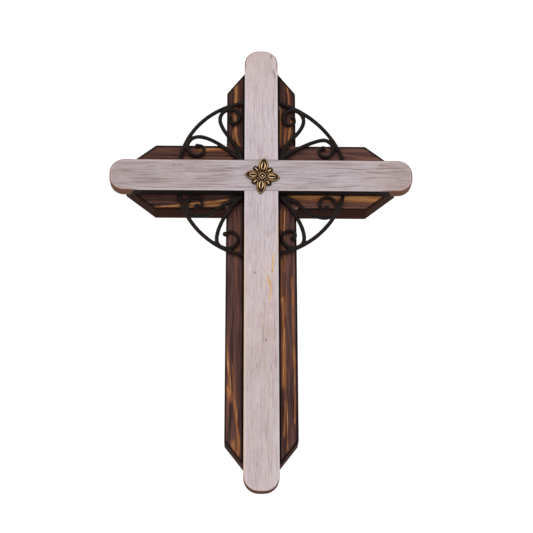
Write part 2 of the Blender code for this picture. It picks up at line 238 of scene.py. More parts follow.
def fine_board(frame, node, upright, grid, room, seed, depth, marks):
    """The CAD board again, cut into a fine grid that carries grain relief and what the material reads."""
    source = frame["nodes"][node]
    builder = bmesh.new()
    builder.from_mesh(source.data)
    bmesh.ops.remove_doubles(builder, verts=builder.verts, dist=1e-6)
    bmesh.ops.dissolve_limit(builder, angle_limit=radians(0.4), verts=builder.verts, edges=builder.edges)
    low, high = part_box(node)
    along_axis, across_axis = (2, 0) if upright else (0, 2)
    slice_evenly(builder, along_axis, low, high, grid[0])
    slice_mesh(builder, 1, np.linspace(low[1], high[1], SIDE_SLICES)[1:-1])
    slice_evenly(builder, across_axis, low, high, grid[1])
    bmesh.ops.triangulate(builder, faces=[face for face in builder.faces if len(face.verts) > 4])
    builder.normal_update()
    mesh = mesh_of(builder, node + "_wood")
    places, normals = board_places(mesh, "co"), board_places(mesh, "normal")
    in_joint = np.zeros(len(places), bool)
    if node in HALF_LAPS:
        in_joint = close_half_lap(places, normals, *HALF_LAPS[node])
    crossing = BACK_CROSSING_Z if node.startswith("back") else FRONT_CROSSING_Z
    shift_along, shift_across = (FRONT_CROSSING_Z, 0.0) if upright else (0.0, crossing)
    along = (places[:, along_axis] - shift_along) / MM
    across = (places[:, across_axis] - shift_across) / MM
    low_along, high_along = low[along_axis] - shift_along, high[along_axis] - shift_along
    inside = room(across * MM, along * MM, low_along, high_along) / MM
    inside = np.where(in_joint, DEEP_INSIDE, inside)
    facing = clamp(-normals[:, 1])
    grain = smooth_noise(across * 0.55 + 40, along * 0.03 + 9, seed)
    grain = 0.6 * grain + 0.4 * smooth_noise(across * 1.15 + 70, along * 0.06 + 3, seed + 1)
    worn = smooth_noise(along * 0.11 + 5, across * 0.05 + 11, seed + 2)
    nick = clamp(smooth_noise(along * 0.45, across * 0.3 + 7, seed + 3) - 0.72) / 0.28
    relief = depth * (1 - grain) * np.clip(facing * 2 - 0.6, SIDE_RELIEF_SHARE, 1)
    on_rounding = (facing > 0.05) & (facing < 0.98)
    rim = np.exp(-((np.maximum(inside, 0) / RIM_REACH) ** 2)) * np.where(on_rounding, 1, 0.2)
    shift = (relief + RIM_WEAR * rim * (0.4 * worn + nick)) * MM
    shift = np.where(in_joint & (facing < 0.5), 0, shift)
    places -= normals * shift[:, None]
    if node.startswith("back"):
        grow_sides(places, normals, along, upright)
    mesh.vertices.foreach_set("co", places.ravel())
    slant = np.abs(normals[:, 0] * normals[:, 2]) * 2
    values = {"rim": np.clip(inside, 0, DEEP_INSIDE), "facing": facing, "slant": slant}
    board = SimpleNamespace(across=across, along=along, places=places, normals=normals)
    for label, painted in marks.items():
        values[label] = painted(board)
    for label, numbers in values.items():
        attribute = mesh.attributes.new(label, "FLOAT", "POINT")
        attribute.data.foreach_set("value", numbers.astype(np.float32))
    if node in HALF_LAPS:
        merge_closed(mesh)
    mesh.update()
    mesh.shade_smooth()
    mesh.set_sharp_from_angle(angle=radians(50))
    made = linked(node + "_wood", mesh)
    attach(made, "root")
    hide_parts(node)
    return made


# Marks in mm: half width, strength, then each point's place across the board and along it. Places are taken
# from the front crossing, but on the back crossbar from the back crossing's height.
# Pale streaks in the burnt boards
UPRIGHT_PALE = [
    (2.1, 0.85, -23.1, 106, -23.5, 88, -24.1, 76, -24.4, 60),
    (1.9, 0.9, -23.7, 53.5, -23.2, 45.2, -21.3, 39, -19.5, 33.9),
    (1.1, 0.7, -25.6, 50.4, -25.4, 40),
    (0.9, 0.35, -17.9, 108.3, -17.8, 82.8),
    (1.3, 1, 24, 101, 25.9, 88.5, 26.6, 77),
    (1.3, 0.9, 18.1, 74.7, 17.9, 51.8, 17.6, 35.2),
    (1.6, 0.8, 28.5, 62, 27, 49.8, 25, 34),
    (1.5, 0.8, 23.3, 52.8, 22.2, 34),
    (0.7, 0.3, -23.7, -31.6, -24, -49.3),
    (0.8, 0.45, -23, -68, -22.4, -102.4, -23.2, -118),
    (1.2, 0.7, -24.9, -64.9, -22.6, -68.8),
    (1, 0.85, -30.4, -152, -28.9, -176, -26.6, -194.8, -25.3, -207),
    (2.2, 0.8, -28.8, -197.6, -26.5, -208.5),
    (0.8, 0.7, -24.6, -178.3, -23.1, -203.1),
    (1.1, 0.95, -23.1, -208.3, -21.3, -221.6, -19.9, -236.6, -19.6, -252.3, -20.6, -263.1),
    (2.4, 0.75, -24.3, -245.7, -22.5, -260.4),
    (0.7, 0.35, -17.8, -130.4, -17.6, -178.7),
    (1.1, 1, 21.3, -28.3, 21.1, -39.2, 20.5, -56.9),
    (1.1, 0.55, 18.1, -25.4, 18, -47.1),
    (1, 0.9, 20.2, -63.7, 20.1, -72.4),
    (0.8, 0.8, 21.2, -74.3, 20.9, -87.9),
    (1.1, 0.7, 18, -80.1, 18.1, -102.1, 18.5, -118.3),
    (2.1, 0.85, 18.8, -114.3, 19.7, -144.4, 19.9, -172, 19.6, -196.7),
    (0.7, 0.6, 22.1, -106.9, 22, -129.6),
    (0.6, 1, 21.9, -179.1, 22.1, -208.1, 22.3, -230.3, 23, -258.8),
    (1.1, 0.75, 28, -97.3, 28.1, -135, 28.7, -172, 29.1, -212.5, 29, -227.9),
    (1.1, 0.8, 20.1, -211.5, 19.7, -238.5),
]
CROSSBAR_PALE = [
    (0.9, 0.5, 27.2, -94.4, 27.3, -84.9),
    (2.2, 0.95, 27.4, -57.6, 28.2, -44.4, 28.7, -32.3),
    (1.5, 0.6, 26.7, -37.1, 21.7, -21.1),
    (0.8, 0.45, 19.2, -113.5, 19.4, -17.4),
    (1, 0.5, 30.3, 28.6, 29.9, 39),
    (1, 0.6, 30.6, 52.7, 29.1, 60.3),
    (0.8, 0.3, 19.6, 30.3, 19.3, 100.8),
    (1.8, 0.9, -30.6, -97.6, -27.6, -68.3, -25.6, -51.1, -22.6, -30),
    (1.8, 0.8, -30.3, -70.3, -29, -51, -27, -31.8),
    (4.8, 1, -18.4, 24.4, -19.1, 63, -20.2, 83.2, -21.6, 112),
    (1.6, 0.6, -22.3, 25.3, -26.3, 38.4),
]
# Small pale glints on the burnt boards: blobs of glue and weld spatter by the roots, with the highlight they
# catch painted into their colour, and one splinter
UPRIGHT_GLINTS = [
    (0.7, 0.9, 18.7, 26, 19.2, 27.4),
    (0.6, 0.8, 22.4, 24, 22.9, 25.2),
    (0.7, 1, 27.2, 29.2, 29.3, 33),
    (0.6, 0.6, -20.9, 23.8, -20.6, 24.8),
    (0.6, 1, -31, -27.6, -27.6, -24),
    (0.55, 1, 23, -21.6, 26, -25),
    (0.8, 0.9, 30.4, -27.4, 31.4, -28.6),
    (0.6, 0.9, 17.2, 73.8, 17.3, 79.6),
]
CROSSBAR_GLINTS = [
    (0.6, 1, -30.2, -31.6, -24.4, -27.8),
    (0.8, 0.8, -31.4, 30.6, -30.4, 32.6),
]
# Bare wood rubbed through the whitewash, and its cracks and specks
UPRIGHT_WORN = [
    (0.8, 0.6, 10.8, -60, 10.3, -70),
    (1.1, 1, 10.4, -77.5, 10.3, -86, 9.6, -95),
    (1.2, 1, 6.3, -98.5, 7.2, -103, 8.2, -109),
    (1, 1, 8, -109.5, 7.9, -112.5),
    (0.95, 0.95, 7.1, -112.6, 7.1, -120.4),
    (0.8, 0.7, 6.8, -122.5, 6.6, -134.8),
    (0.9, 0.75, 5.5, -84.2, 5.5, -86.3),
    (0.9, 0.8, 5.4, -89.2, 5.4, -91.2),
    (0.42, 0.75, 3.3, -81, 3.1, -96),
    (0.42, 0.7, 3.1, -99.5, 3.2, -121.5),
    (0.5, 0.7, 8.8, -96.5, 8.2, -99),
    (5.2, 0.4, 2.4, -140, 3.4, -200, 3, -268),
]
UPRIGHT_MARKS = [
    (0.4, 0.45, 1.6, -142.1, 1.8, -159.4),
    (0.4, 0.45, 7.6, -264, 7.8, -272.8),
    (0.5, 0.6, 8.2, -179.4, 8.4, -184.6),
    (0.8, 0.9, 4, -158.4, 4, -156.8),
    (0.8, 1, -6.1, -95.3, -6.1, -94.5),
    (0.5, 0.9, 9.7, 120.4, 9.7, 125.2),
    (0.5, 0.85, 10.6, 108.4, 12, 104, 13.4, 100.2),
    (0.7, 0.5, -1, -27.6, 0.4, -28.2),
    (0.6, 0.45, -3.2, -30.2, -2.6, -31.4),
]
CROSSBAR_MARKS = [
    (0.7, 0.8, 9.6, -80.6, 9.6, -78.8),
    (0.45, 0.6, 9.4, -76.4, 9.8, -71.6),
    (0.45, 0.6, 8.2, -104.4, 8.4, -97.6),
    (0.4, 0.4, -8.2, 3.6, -8, 12.4),
    (0.4, 0.5, 2.4, -126, 2, -96),
    (0.35, 0.45, -4.6, -118, -5, -86),
    (0.35, 0.5, 5.6, -70, 5.8, -34),
    (0.4, 0.45, -9.4, -64, -9.8, -30),
    (0.35, 0.4, -1.2, -58, -1.4, -24),
    (0.35, 0.35, -6.4, 44, -6, 78),
    (0.4, 0.45, 3.6, 96, 3.2, 126),
    (1.4, 0.22, 11.2, 108, 8.6, 126),
    (1, 0.3, 9, 116, 5.8, 130),
    (0.6, 0.3, 4.8, 118, 4, 132),
    (0.9, 0.16, -2, 104, -2.6, 128),
]

# Shade of each board along its length, as (place in mm, factor on the colour), then the whitewash's warmth
BACK_UPRIGHT_SHADE = [(-280, 1.0), (-100, 1.0), (-55, 0.85), (-20, 0.6), (110, 0.52)]
BACK_CROSSBAR_SHADE = [(-125, 0.62), (0, 0.68), (30, 0.85), (70, 0.95), (86, 1.05), (125, 1.0)]
FRONT_UPRIGHT_SHADE = [
    (-292, 0.95), (-230, 0.92), (-170, 0.86), (-95, 0.97),
    (-40, 0.93), (30, 0.95), (128, 0.88),
]
FRONT_CROSSBAR_SHADE = [
    (-138, 0.62), (-100, 0.68), (-30, 0.76), (0, 0.80),
    (40, 0.76), (100, 0.78), (138, 0.62),
]
UPRIGHT_WARMTH = [
    (-292, 0.6), (-230, 0.5), (-150, 0.9), (-90, 0.45),
    (-40, 0.0), (60, 0.1), (100, 0.7), (128, 0.9),
]
CROSSBAR_WARMTH = [(-138, 0.8), (-100, 0.6), (-60, 0.4), (0, 0.0), (90, 0.2), (112, 0.9), (138, 1.0)]


def shade_along(steps):
    return lambda board: np.interp(board.along, *zip(*steps))


def upright_tan(board):
    """Bare rim of the white upright: its left edge below the crossing, a short run of its right edge."""
    left = (board.across < 0) * ramp_between(board.along, -36, -56)
    right = (board.across > 0) * ramp_between(board.along, -38, -46) * ramp_between(board.along, -86, -74)
    return np.maximum(left, right)


def upright_brown(board):
    """Scorched rim of the white upright's two ends."""
    return np.maximum(ramp_between(board.along, 106, 114), 0.3 * ramp_between(board.along, -270, -280))


def crossbar_brown(board):
    """Scorched rim of the white crossbar, strong at its ends and faint along its top."""
    ends = np.maximum(ramp_between(board.along, -110, -122), ramp_between(board.along, 108, 122))
    return np.maximum(ends, 0.35 * (board.across > 0))


# In mm: reach of the painted black shade in the crevice beside the white upright, and the ends of the
# painted near-black shade on the white boards' sides
CREVICE_SHADE_REACH = 2.3
SIDE_SHADE_OUT, SIDE_SHADE_TOP, SIDE_SHADE_BOTTOM = 119.5, 101.0, -264.0


def root_corner_shade(places):
    """Painted shade round the roots of the rods, in the four inner corners, fading out over 13 mm."""
    beside = np.abs(places[:, 0]) / MM - FRONT_HALF / MM
    above = np.abs(places[:, 2] - FRONT_CROSSING_Z) / MM - FRONT_HALF / MM
    away = np.hypot(np.maximum(beside, 0), np.maximum(above, 0))
    return 0.85 * ramp_between(away, 13.0, 3.0)


def above_front(places):
    """Height in mm above the white crossbar's upper edge."""
    return (places[:, 2] - FRONT_CROSSING_Z - FRONT_HALF) / MM


def shade_by_upright(sideways):
    """Painted black shade in the crevice beside the white upright, at distances in mm from its middle."""
    return clamp(CREVICE_SHADE_REACH - np.abs(np.abs(sideways) - FRONT_HALF / MM))


def crevice_shade(board):
    """Painted black shade in the crevice beside the white upright, and painted shade round the rods' roots.
    """
    return np.maximum(shade_by_upright(board.across), root_corner_shade(board.places)) * (board.normals[:, 1] < -0.5)


def bar_crevice_shade(board):
    """Painted shade in the crevice: a thin dark line above the white crossbar, broader beside the upright,
    and round the rods' roots.
    """
    above_bar = clamp(1.3 - np.abs(above_front(board.places) - 0.2))
    dark_shade = np.maximum(np.maximum(above_bar, shade_by_upright(board.along)), root_corner_shade(board.places))
    return dark_shade * (board.normals[:, 1] < -0.5)


def red_line(board):
    """A thin red-brown line on the burnt crossbar, right above the white one."""
    line = clamp(1.2 - np.abs(above_front(board.places)))
    return line * ramp_between(np.abs(board.along), 16.5, 18) * 0.8 * (board.normals[:, 1] < -0.5)


def nowhere(board):
    return np.zeros_like(board.across)


def side_shade(upright):
    """Painted near-black shade on a front board's sides where they pass over the back boards."""

    def painted(board):
        if upright:
            over = clamp(SIDE_SHADE_TOP - board.along) * clamp(board.along - SIDE_SHADE_BOTTOM)
        else:
            slope = (BACK_OF_FRONT - board.places[:, 1]) / MM * 0.3
            over = clamp(SIDE_SHADE_OUT - np.abs(board.along) - slope)
        return over * clamp(1 - clamp(-board.normals[:, 1]) * 1.6)

    return painted


# Rod work

ROD_RADIUS = 0.0017
TIP_RADIUS = 0.00125
BALL_RADIUS = 0.0024
ROOT_WELD_RADIUS = 0.0023
TOUCH_WELD_RADIUS = 0.0018
TIP_TAPER_SHARE = 0.35
ROOT_ROOM = 0.0004
ROOT_PLACE = FRONT_HALF + FIT_GAP + ROOT_ROOM + ROD_RADIUS
ROD_SIDES = 20
ROD_STEP = 0.0006
ARC_STEPS, CURL_STEPS, STEM_STEPS = 120, 150, 60
ROD_UNEVENNESS = 0.07
PAINT_THICKNESS = 0.00013
ROOT_SWELL = 0.42
ROOT_SWELL_LENGTH = 0.011
VOXEL_SIZE = 0.00038

# side, rise, (upright end, arm end, bend radius), arm scroll, upright scroll. A scroll is eye room, curl
# radius, eye radius, weld pitch, root pull and curl pull in mm, then lead, turn and heading in degrees.
CORNERS = {
    "scroll_upper_left": (
        (-1, 1),
        (78.2, 75.0, 70.4),
        (15.8, 10.5, 2.2, 2.2, 18.4, 14.3, 30, 312, 46),
        (11.5, 9.6, 2.6, 2.8, 16.1, 14.5, 87, 294, 87),
    ),
    "scroll_upper_right": (
        (1, 1),
        (78.8, 76.7, 90.5),
        (14.2, 9.3, 2.2, 2.9, 7.0, 7.6, 54, 283, 80),
        (12.6, 10.2, 2.3, 1.0, 19.6, 14.3, 83, 337, 87),
    ),
    "scroll_lower_left": (
        (-1, -1),
        (74.9, 74.8, 77.2),
        (9.6, 9.8, 2.2, 3.1, 18.0, 15.9, 85, 294, 16),
        (13.7, 11.0, 4.7, 0.6, 20.8, 9.6, 23, 252, 41),
    ),
    "scroll_lower_right": (
        (1, -1),
        (73.1, 75.0, 78.2),
        (10.4, 10.5, 2.6, 1.3, 29.1, 25.6, 83, 319, 12),
        (12.0, 11.3, 2.2, 0.6, 24.2, 10.4, 21, 345, 47),
    ),
}


def arc_circle(arc):
    upright_end, arm_end, radius = (value * MM for value in arc)
    first, last = Vector((FRONT_HALF, upright_end)), Vector((arm_end, FRONT_HALF))
    chord = last - first
    rise = sqrt(radius**2 - chord.length_squared / 4)
    return (first + last) / 2 + Vector((chord.y, -chord.x)).normalized() * rise, radius


def arc_line(arc):
    centre, radius = arc_circle(arc)
    deep = FRONT_HALF - 0.002
    start = atan2(sqrt(radius**2 - (deep - centre.x) ** 2), deep - centre.x)
    end = atan2(deep - centre.y, sqrt(radius**2 - (deep - centre.y) ** 2))
    angles = [start + (end - start) * step / ARC_STEPS for step in range(ARC_STEPS + 1)]
    return [centre + radius * Vector((cos(angle), sin(angle))) for angle in angles]


def scroll_line(scroll, arc, by_arm):
    """Centre line from the root to the eye, and the place where the curl is welded to the arc."""
    room, curl_radius, eye_radius, pitch, root_pull, curl_pull = (value * MM for value in scroll[:6])
    lead, turn, heading = (radians(value) for value in scroll[6:])
    centre, radius = arc_circle(arc)
    inner = radius - pitch - curl_radius
    beside = FRONT_HALF + room
    if by_arm:
        eye = Vector((centre.x + sqrt(inner**2 - (beside - centre.y) ** 2), beside))
    else:
        eye = Vector((beside, centre.y + sqrt(inner**2 - (beside - centre.x) ** 2)))
    touch = atan2(eye.y - centre.y, eye.x - centre.x)
    winding = -1 if by_arm else 1
    closing = (curl_radius - eye_radius) / turn
    curl = []
    for step in range(CURL_STEPS + 1):
        turned = -lead + (lead + turn) * step / CURL_STEPS
        angle = touch + winding * turned
        curl.append(eye + (curl_radius - closing * turned) * Vector((cos(angle), sin(angle))))
    join = touch - winding * lead
    out = Vector((cos(join), sin(join)))
    along = winding * Vector((-out.y, out.x)) * (curl_radius + closing * lead) - closing * out
    root = Vector((ROOT_PLACE, ROOT_PLACE))
    root_handle = root + root_pull * Vector((cos(heading), sin(heading)))
    curl_handle = curl[0] - curl_pull * along.normalized()
    stem = []
    for step in range(STEM_STEPS):
        t = step / STEM_STEPS
        s = 1 - t
        stem.append(s**3 * root + 3 * s * s * t * root_handle + 3 * s * t * t * curl_handle + t**3 * curl[0])
    weld = eye + (eye - centre).normalized() * (curl_radius + pitch / 2)
    return stem + curl, weld


def resampled(line, step):
    points = np.array([tuple(point) for point in line])
    length = np.concatenate([[0], np.cumsum(np.hypot(*np.diff(points, axis=0).T))])
    count = max(4, int(length[-1] / step))
    at = np.linspace(0, length[-1], count)
    smooth = np.stack([np.interp(at, length, points[:, axis]) for axis in range(2)], axis=1)
    return smooth, at, length[-1]


def tube(builder, line, corner, taper, seed):
    """A round rod lying on the back boards. taper draws its tail down and swells its root; the tip it
    returns is where rod_work sets a small ball.
    """
    points, at, length = resampled(line, ROD_STEP)
    radii = np.full(len(at), ROD_RADIUS)
    if taper:
        share = clamp((at / length - (1 - TIP_TAPER_SHARE)) / TIP_TAPER_SHARE)
        radii = ROD_RADIUS + (TIP_RADIUS - ROD_RADIUS) * share
        radii = radii * (1 + ROOT_SWELL * np.exp(-((at / ROOT_SWELL_LENGTH) ** 2)))
    radii = radii + PAINT_THICKNESS
    uneven = smooth_noise(at / MM * 0.22 + seed, np.full(len(at), 3.3), 90 + seed) - 0.5
    radii = radii * (1 + ROD_UNEVENNESS * uneven)
    rings = []
    angles = [2 * pi * side / ROD_SIDES for side in range(ROD_SIDES)]
    forward = np.array([0.0, -1.0, 0.0])
    x, z = corner[0] * points[:, 0], FRONT_CROSSING_Z + corner[1] * points[:, 1]
    centres = np.stack([x, BACK_OF_FRONT - radii, z], axis=1)
    directions = np.gradient(centres, axis=0)
    directions /= np.linalg.norm(directions, axis=1)[:, None]
    for centre, direction, radius in zip(centres, directions, radii):
        across = np.cross(direction, forward)
        across /= np.linalg.norm(across)
        ring = [centre + radius * (cos(angle) * across + sin(angle) * forward) for angle in angles]
        rings.append([builder.verts.new(place) for place in ring])
    for ring, following in zip(rings, rings[1:]):
        for side in range(ROD_SIDES):
            turn = (side + 1) % ROD_SIDES
            builder.faces.new((ring[side], ring[turn], following[turn], following[side]))
    builder.faces.new(rings[0])
    builder.faces.new(rings[-1])
    return points[-1]


def bead(builder, point, radius, corner):
    centre = (corner[0] * point[0], BACK_OF_FRONT - radius, FRONT_CROSSING_Z + corner[1] * point[1])
    place = Matrix.Translation(centre)
    bmesh.ops.create_icosphere(builder, subdivisions=4, radius=radius, matrix=place)


def baked(obj):
    """Replaces obj's mesh by its evaluated one, with the modifiers applied."""
    graph = bpy.context.evaluated_depsgraph_get()
    mesh = bpy.data.meshes.new_from_object(obj.evaluated_get(graph))
    obj.modifiers.clear()
    obj.data = mesh


# Weld run between the two stems: (steps along them from the root, radius)
WELD_FLOW = [(4, 0.0023), (8, 0.0021), (12, 0.0018), (16, 0.0014)]


def rod_work(node, corner, arc, arm_scroll, upright_scroll, seed):
    builder = bmesh.new()
    tube(builder, arc_line(arc), corner, False, seed)
    bead(builder, (ROOT_PLACE, ROOT_PLACE), ROOT_WELD_RADIUS, corner)
    stems = []
    for index, (scroll, by_arm) in enumerate(((arm_scroll, True), (upright_scroll, False))):
        line, weld = scroll_line(scroll, arc, by_arm)
        stems.append(resampled(line, ROD_STEP)[0])
        tip = tube(builder, line, corner, True, seed + index + 1)
        bead(builder, tip, BALL_RADIUS, corner)
        bead(builder, weld, TOUCH_WELD_RADIUS, corner)
    for step, radius in WELD_FLOW:
        place = (stems[0][step] + stems[1][step]) / 2
        bead(builder, place, radius, corner)
    bmesh.ops.recalc_face_normals(builder, faces=builder.faces)
    made = linked(node + "_iron", mesh_of(builder, node + "_iron"))
    remesh = made.modifiers.new("fused", "REMESH")
    remesh.mode = "VOXEL"
    remesh.voxel_size = VOXEL_SIZE
    smoothing = made.modifiers.new("flowed", "SMOOTH")
    smoothing.factor = 0.5
    smoothing.iterations = 3
    baked(made)
    builder = bmesh.new()
    builder.from_mesh(made.data)
    edge = FRONT_HALF + FIT_GAP
    for axis, sign, offset in ((0, corner[0], 0.0), (2, corner[1], FRONT_CROSSING_Z)):
        keep = {"clear_inner": sign > 0, "clear_outer": sign < 0}
        cut = cut_across(builder, axis, offset + sign * edge, **keep)
        rim = [item for item in cut if isinstance(item, bmesh.types.BMEdge)]
        bmesh.ops.holes_fill(builder, edges=rim, sides=0)
    builder.to_mesh(made.data)
    builder.free()
    made.data.shade_smooth()
    made.data.set_sharp_from_angle(angle=radians(55))
    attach(made, "root")
    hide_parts(node)
    return made


# Rosette

# Lengths in mm, from the rosette's own centre
PETAL_UP, PETAL_SIDE = 18.2, 16.2
PETAL_HALF = 4.5
PETAL_ROOT_HALF = 2.1
LEAF_REACH = 11.9
LEAF_HALF = 3.1
LEAF_ROOT = 6.6
LEAF_NOTCH = 0.09
LEAF_WIDEST = 8.4
HUB_RADIUS = 5.6
PETAL_START = 4.4
CENTRE_ROOM = 1.15
DIAMOND_HALF = 3.4
ROSETTE_TURN = radians(-6)
ROSETTE_OFFSET = (0.9, -1.2)
ROSETTE_BASE = 0.6
ROSETTE_SPOKES = 480
ROSETTE_RINGS = 76


def petal_width(along, tip):
    """Half width of an ogive petal at a distance from the centre, 0 past its tip."""
    widest = 0.59 * tip
    outer = clamp((along - widest) / (tip - widest))
    inner = clamp((widest - along) / widest)
    root = (PETAL_HALF - PETAL_ROOT_HALF) * inner**1.7
    width = np.where(along > widest, PETAL_HALF * (1 - outer**2.0), PETAL_HALF - root)
    return np.where((along > 0) & (along < tip), width, 0)


def leaf_width(along):
    """Half width of a small blunt leaf on the diagonal."""
    end = clamp((along - LEAF_WIDEST) / (LEAF_REACH - LEAF_WIDEST))
    root = clamp((LEAF_WIDEST - along) / LEAF_WIDEST)
    tip = np.sqrt(clamp(1 - end**1.8))
    width = LEAF_HALF * np.where(along < LEAF_WIDEST, 1 - 0.45 * root, tip)
    width = width * (1 + LEAF_NOTCH * np.cos((along - 9.2) * 2.6))
    return np.where((along > 0) & (along < LEAF_REACH), width, 0)


def ridge(value, middle, half):
    """1 on a rounded ridge line, falling to 0 beside it."""
    return np.exp(-(((value - middle) / half) ** 2))


def petal_relief(along, across, tip):
    """(height, gloss) of one petal: a rim, a sunk band and a lens of two ridges round a slit."""
    width = np.maximum(petal_width(along, tip), 1e-6)
    share = np.abs(across) / width
    run = ramp_between(along, 4.2, tip)
    rim = ridge(share, 0.80, 0.13) * ramp_between(run, 0.02, 0.2) * ramp_between(along, tip - 0.2, tip - 1.0)
    rim = np.maximum(rim, 0.9 * ridge(along, tip - 1.35, 0.5) * (share < 0.8))
    middle, reach = 0.52 * tip, 0.27 * tip
    lens_half = 2.35 * (1 - clamp(np.abs(along - middle) / reach) ** 2)
    lens_share = np.abs(across) / np.maximum(lens_half, 1e-6)
    in_lens = (lens_half > 0.25) & (lens_share < 1.15)
    lens = np.where(in_lens, ridge(lens_share, 0.66, 0.3), 0)
    stem = ridge(across, 0.0, 0.5) * ramp_between(along, 3.9, 4.6)
    stem = stem * ramp_between(along, middle - 0.8 * reach, middle - reach)
    slit = np.where(in_lens, ridge(lens_share, 0.0, 0.26), 0)
    crown = 0.5 * clamp(1 - share**2) * np.sin(run * pi) ** 0.6
    height = crown + 0.75 * rim + 0.95 * lens - 0.35 * slit + 0.3 * stem
    gloss = np.maximum(np.maximum(0.6 * rim, 0.9 * lens), 0.4 * stem) + 0.12 * (share < 0.92)
    gloss = gloss * (1 - slit)
    return (share < 1) & (along > 0) & (along < tip), height, gloss


def leaf_relief(along, across):
    """(height, gloss) of one leaf: a bright ridge between two black lobes, and two bars at its root."""
    width = np.maximum(leaf_width(along), 1e-6)
    share = np.abs(across) / width
    leafy = ramp_between(along, LEAF_ROOT - 0.5, LEAF_ROOT + 0.5)
    middle = ridge(across, 0.0, 0.72) * leafy * ramp_between(along, LEAF_REACH - 0.6, LEAF_REACH - 2.4)
    lobes = ridge(share, 0.68, 0.24) * leafy
    tips = ridge(share, 0.82, 0.12) * ridge(along, 9.4, 1.3)
    bars = ridge(np.abs(across), 1.0, 0.42) * (1 - leafy) * ramp_between(along, 3.4, 4.2)
    side_bars = ridge(np.abs(across), 2.5, 0.4) * (1 - leafy) * ramp_between(along, 4.4, 5.2)
    height = 0.95 * middle + 0.6 * lobes + 0.55 * bars + 0.45 * side_bars
    gloss = np.maximum(np.maximum(middle, 0.4 * tips), np.maximum(0.85 * bars, 0.65 * side_bars))
    return (share < 1) & (along > 0) & (along < LEAF_REACH), height, gloss


def seen_along(x, z, angle):
    """Places as (along, across) a petal or leaf that points at angle."""
    return x * cos(angle) + z * sin(angle), -x * sin(angle) + z * cos(angle)


def rosette_field(x, z):
    """(inside, height in mm above the back, gloss 0 to 1) at places in mm from the rosette's centre."""
    inside = np.hypot(x, z) < HUB_RADIUS
    height = np.zeros_like(x)
    gloss = np.zeros_like(x)
    for quarter in range(4):
        along, across = seen_along(x, z, (quarter + 0.5) * pi / 2)
        within, leaf_height, leaf_gloss = leaf_relief(along, across)
        inside |= within
        height = np.where(within, leaf_height, height)
        gloss = np.where(within, leaf_gloss, gloss)
    for quarter in range(4):
        along, across = seen_along(x, z, quarter * pi / 2)
        tip = PETAL_SIDE if quarter % 2 == 0 else PETAL_UP
        within, petal_height, petal_gloss = petal_relief(along, across, tip)
        inside |= within
        within &= along > PETAL_START
        height = np.where(within, petal_height, height)
        gloss = np.where(within, petal_gloss, gloss)
    diamond = np.abs(x) + np.abs(z)
    frame = ridge(diamond, DIAMOND_HALF, 0.6)
    dot = ridge(np.hypot(x - 0.15, z), 0.0, 0.95)
    centre = diamond < DIAMOND_HALF + CENTRE_ROOM
    height = np.where(centre, np.maximum(1.1 * frame, 0.5 * dot), height)
    gloss = np.where(centre, np.maximum(frame, dot), gloss)
    return inside, ROSETTE_BASE + height, gloss


def rosette():
    angles = np.linspace(0, 2 * pi, ROSETTE_SPOKES, endpoint=False)
    reach = np.zeros(ROSETTE_SPOKES)
    for radius in np.arange(3.0, 19.0, 0.04):
        inside, _, _ = rosette_field(radius * np.cos(angles), radius * np.sin(angles))
        reach = np.where(inside, radius, reach)
    shares = np.linspace(0, 1, ROSETTE_RINGS + 1)[1:]
    radius = shares[:, None] * reach[None, :]
    x, z = radius * np.cos(angles), radius * np.sin(angles)
    _, height, gloss = rosette_field(x, z)
    height[-1] = np.minimum(height[-1], ROSETTE_BASE)
    gloss[-1] = 0.1
    turned = angles + ROSETTE_TURN
    base = FRONT_FACE - FIT_GAP
    middle_x, middle_z = ROSETTE_OFFSET[0] * MM, FRONT_CROSSING_Z + ROSETTE_OFFSET[1] * MM
    builder = bmesh.new()
    _, top_height, top_gloss = rosette_field(np.zeros(1), np.zeros(1))
    top = builder.verts.new((middle_x, base - top_height[0] * MM, middle_z))
    rows = []
    for ring in range(ROSETTE_RINGS):
        row = []
        for spoke in range(ROSETTE_SPOKES):
            out = radius[ring, spoke] * MM
            x, z = middle_x + out * cos(turned[spoke]), middle_z + out * sin(turned[spoke])
            row.append(builder.verts.new((x, base - height[ring, spoke] * MM, z)))
        rows.append(row)
    rim = [builder.verts.new((vert.co.x, base, vert.co.z)) for vert in rows[-1]]
    bottom = builder.verts.new((middle_x, base, middle_z))
    for spoke in range(ROSETTE_SPOKES):
        following = (spoke + 1) % ROSETTE_SPOKES
        builder.faces.new((top, rows[0][spoke], rows[0][following]))
        for row, outer in zip(rows, rows[1:]):
            builder.faces.new((row[spoke], outer[spoke], outer[following], row[following]))
        builder.faces.new((rows[-1][spoke], rim[spoke], rim[following], rows[-1][following]))
        builder.faces.new((bottom, rim[following], rim[spoke]))
    bmesh.ops.recalc_face_normals(builder, faces=builder.faces)
    mesh = mesh_of(builder, "rosette_brass")
    shine = np.concatenate([top_gloss, gloss.ravel(), np.zeros(ROSETTE_SPOKES + 1)])
    attribute = mesh.attributes.new("gloss", "FLOAT", "POINT")
    attribute.data.foreach_set("value", shine.astype(np.float32))
    mesh.shade_smooth()
    mesh.set_sharp_from_angle(angle=radians(70))
    made = linked("rosette_brass", mesh)
    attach(made, "root")
    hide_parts("rosette")
    return made


# Materials

